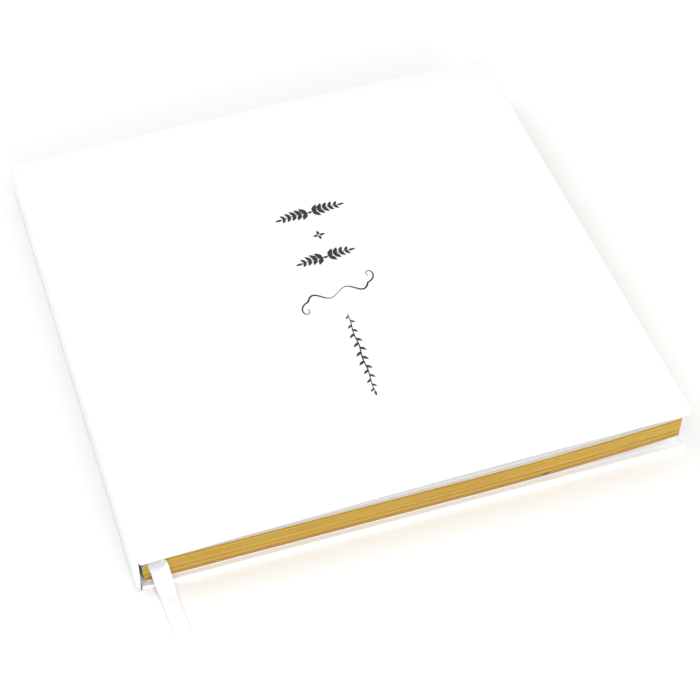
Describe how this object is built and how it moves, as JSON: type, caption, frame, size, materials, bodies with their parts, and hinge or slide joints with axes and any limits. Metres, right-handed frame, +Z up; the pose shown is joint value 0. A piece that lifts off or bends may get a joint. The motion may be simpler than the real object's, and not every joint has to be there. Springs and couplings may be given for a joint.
{
  "type": "guest book",
  "caption": "Square hard-case guest book with gilt edges, ribbon marker, hinged front cover and a text block that opens at the middle.",
  "frame": {"origin": "centre of the flat underside of the back cover", "axes": "+X from the spine to the fore-edge, +Y from the tail to the head of the page, +Z up through the front cover"},
  "size_m": [0.3174, 0.3511, 0.033],
  "materials": {
    "laminate": "satin film over white printed paper",
    "greyboard": "raw grey board",
    "leaf_paper": "uncoated ivory",
    "gilt_paper": "uncoated leaves with gilt edges",
    "satin": "satin weave",
    "lining_paper": "kraft lining",
    "binding_cloth": "open cotton weave"
  },
  "bodies": {
    "back_cover": {"back_board": "greyboard", "back_wrap": "laminate", "back_joint_lining": "binding_cloth", "back_pastedown": "leaf_paper", "back_flyleaf": "leaf_paper", "section_10": "gilt_paper"},
    "spine": {"spine_board": "greyboard", "spine_wrap": "laminate", "spine_liner": "lining_paper", "spine_cloth": "binding_cloth", "sewing_tape_1": "binding_cloth", "sewing_tape_2": "binding_cloth", "sewing_tape_3": "binding_cloth"},
    "front_endpaper": {"front_joint_lining": "binding_cloth", "front_flyleaf": "leaf_paper"},
    "front_cover": {"front_board": "greyboard", "front_wrap": "laminate", "front_pastedown": "leaf_paper"},
    "first_section": {"section_1": "gilt_paper", "ribbon": "satin"},
    "section_2_leaves": {"section_2": "gilt_paper"},
    "section_3_leaves": {"section_3": "gilt_paper"},
    "section_4_leaves": {"section_4": "gilt_paper"},
    "section_5_leaves": {"section_5": "gilt_paper"},
    "section_6_leaves": {"section_6": "gilt_paper"},
    "section_7_leaves": {"section_7": "gilt_paper"},
    "section_8_leaves": {"section_8": "gilt_paper"},
    "section_9_leaves": {"section_9": "gilt_paper"}
  },
  "joints": [
    {"name": "middle_opening", "type": "hinge", "parent": "back_cover", "child": "first_section", "pos_m": [-0.16375, 0, 0.0121], "axis": [0, 1, 0], "range_deg": [-176, 0]},
    {"name": "spine_fold", "type": "hinge", "parent": "back_cover", "child": "spine", "pos_m": [-0.15875, 0, 0], "axis": [0, -1, 0], "range_deg": [0, 88]},
    {"name": "front_joint_fold", "type": "hinge", "parent": "spine", "child": "front_endpaper", "pos_m": [-0.15875, 0, 0.026], "axis": [0, -1, 0], "range_deg": [0, 88]},
    {"name": "front_cover_hinge", "type": "hinge", "parent": "front_endpaper", "child": "front_cover", "pos_m": [-0.15875, 0, 0.026], "axis": [0, -1, 0], "range_deg": [0, 177]},
    {"name": "section_2_turn", "type": "hinge", "parent": "back_cover", "child": "section_2_leaves", "pos_m": [-0.16295, 0, 0.0121], "axis": [0, 1, 0], "range_deg": [-176, 0]},
    {"name": "section_3_turn", "type": "hinge", "parent": "back_cover", "child": "section_3_leaves", "pos_m": [-0.16215, 0, 0.0121], "axis": [0, 1, 0], "range_deg": [-176, 0]},
    {"name": "section_4_turn", "type": "hinge", "parent": "back_cover", "child": "section_4_leaves", "pos_m": [-0.16135, 0, 0.0121], "axis": [0, 1, 0], "range_deg": [-176, 0]},
    {"name": "section_5_turn", "type": "hinge", "parent": "back_cover", "child": "section_5_leaves", "pos_m": [-0.16055, 0, 0.0121], "axis": [0, 1, 0], "range_deg": [-176, 0]},
    {"name": "section_6_shift", "type": "slide", "parent": "back_cover", "child": "section_6_leaves", "axis": [-1, 0, 0], "range_m": [0, 0.0139]},
    {"name": "section_7_shift", "type": "slide", "parent": "back_cover", "child": "section_7_leaves", "axis": [-1, 0, 0], "range_m": [0, 0.01045]},
    {"name": "section_8_shift", "type": "slide", "parent": "back_cover", "child": "section_8_leaves", "axis": [-1, 0, 0], "range_m": [0, 0.007]},
    {"name": "section_9_shift", "type": "slide", "parent": "back_cover", "child": "section_9_leaves", "axis": [-1, 0, 0], "range_m": [0, 0.00355]}
  ],
  "couplings": [
    {"joint": "spine_fold", "follows": "middle_opening", "ratio": -0.5},
    {"joint": "front_joint_fold", "follows": "middle_opening", "ratio": -0.5},
    {"joint": "section_2_turn", "follows": "middle_opening", "ratio": 0.999},
    {"joint": "section_3_turn", "follows": "middle_opening", "ratio": 0.998},
    {"joint": "section_4_turn", "follows": "middle_opening", "ratio": 0.997},
    {"joint": "section_5_turn", "follows": "middle_opening", "ratio": 0.996},
    {"joint": "section_6_shift", "follows": "middle_opening", "m_per_rad": -0.0044925},
    {"joint": "section_7_shift", "follows": "middle_opening", "m_per_rad": -0.0033694},
    {"joint": "section_8_shift", "follows": "middle_opening", "m_per_rad": -0.0022462},
    {"joint": "section_9_shift", "follows": "middle_opening", "m_per_rad": -0.0011231}
  ]
}
